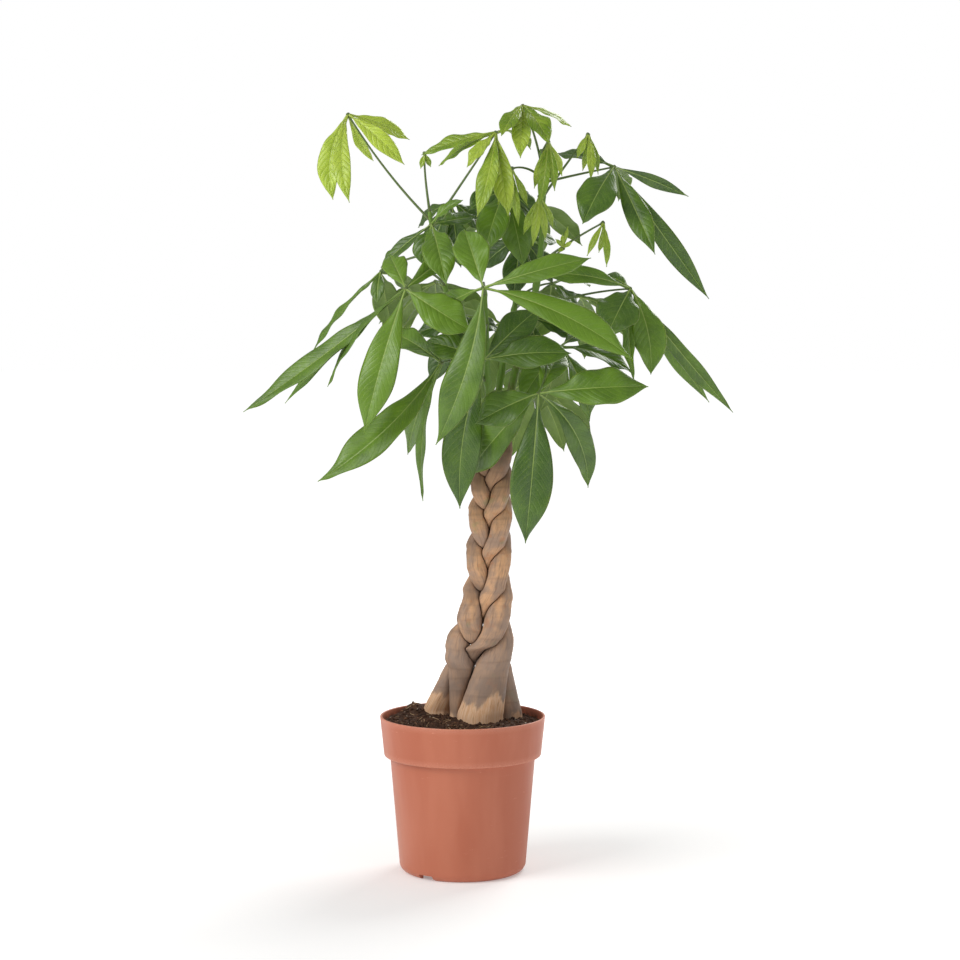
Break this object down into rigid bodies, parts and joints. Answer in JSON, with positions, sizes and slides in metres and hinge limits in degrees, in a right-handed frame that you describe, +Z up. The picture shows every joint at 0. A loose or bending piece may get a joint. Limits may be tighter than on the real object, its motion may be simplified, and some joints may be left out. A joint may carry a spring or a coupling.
{
  "type": "potted money tree",
  "caption": "Potted money tree: plaited woody stems rooted in soil in a tapered plastic nursery pot, with green shoots and drooping hand-shaped leaves on long stalks.",
  "frame": {"origin": "centre of the pot's flat underside, on the surface that it stands on", "axes": "+Z up along the trunk, -Y towards the front view, +X to the right seen from the front"},
  "size_m": [0.4933, 0.3804, 0.7865],
  "materials": {
    "terracotta_plastic": "slightly worn satin plastic",
    "potting_soil": "crumbly and matt",
    "bark": "rough grey-brown bark",
    "green_shoot": "smooth green skin",
    "young_leaf": "soft sheen, light yellow-green",
    "grown_leaf": "soft sheen, mid green"
  },
  "bodies": {
    "root": {"leaf_back_high": "grown_leaf", "leaf_back_left": "grown_leaf", "leaf_back_low": "grown_leaf", "leaf_back_middle": "grown_leaf", "leaf_back_right": "grown_leaf", "leaf_bud_left": "young_leaf", "leaf_bud_right": "young_leaf", "leaf_bud_small": "young_leaf", "leaf_centre": "grown_leaf", "leaf_crest": "young_leaf", "leaf_front": "grown_leaf", "leaf_front_left": "grown_leaf", "leaf_high_centre": "grown_leaf", "leaf_inner_left": "grown_leaf", "leaf_inner_low": "grown_leaf", "leaf_inner_middle": "grown_leaf", "leaf_inner_right": "grown_leaf", "leaf_left": "grown_leaf", "leaf_low_left": "grown_leaf", "leaf_low_right": "grown_leaf", "leaf_lower_right": "grown_leaf", "leaf_right_centre": "grown_leaf", "leaf_right_low": "grown_leaf", "leaf_top_left": "young_leaf", "leaf_top_middle": "young_leaf", "leaf_upper_left": "grown_leaf", "leaf_upper_right": "grown_leaf", "leaf_young_low": "young_leaf", "leaf_young_middle": "young_leaf", "leaf_young_right": "young_leaf", "leaf_young_side": "young_leaf", "pot": "terracotta_plastic", "shoot_back": "green_shoot", "shoot_front": "green_shoot", "shoot_left": "green_shoot", "shoot_main": "green_shoot", "soil": "potting_soil", "stem_back_left": "bark", "stem_back_right": "bark", "stem_front_left": "bark", "stem_front_right": "bark"}
  },
  "joints": []
}
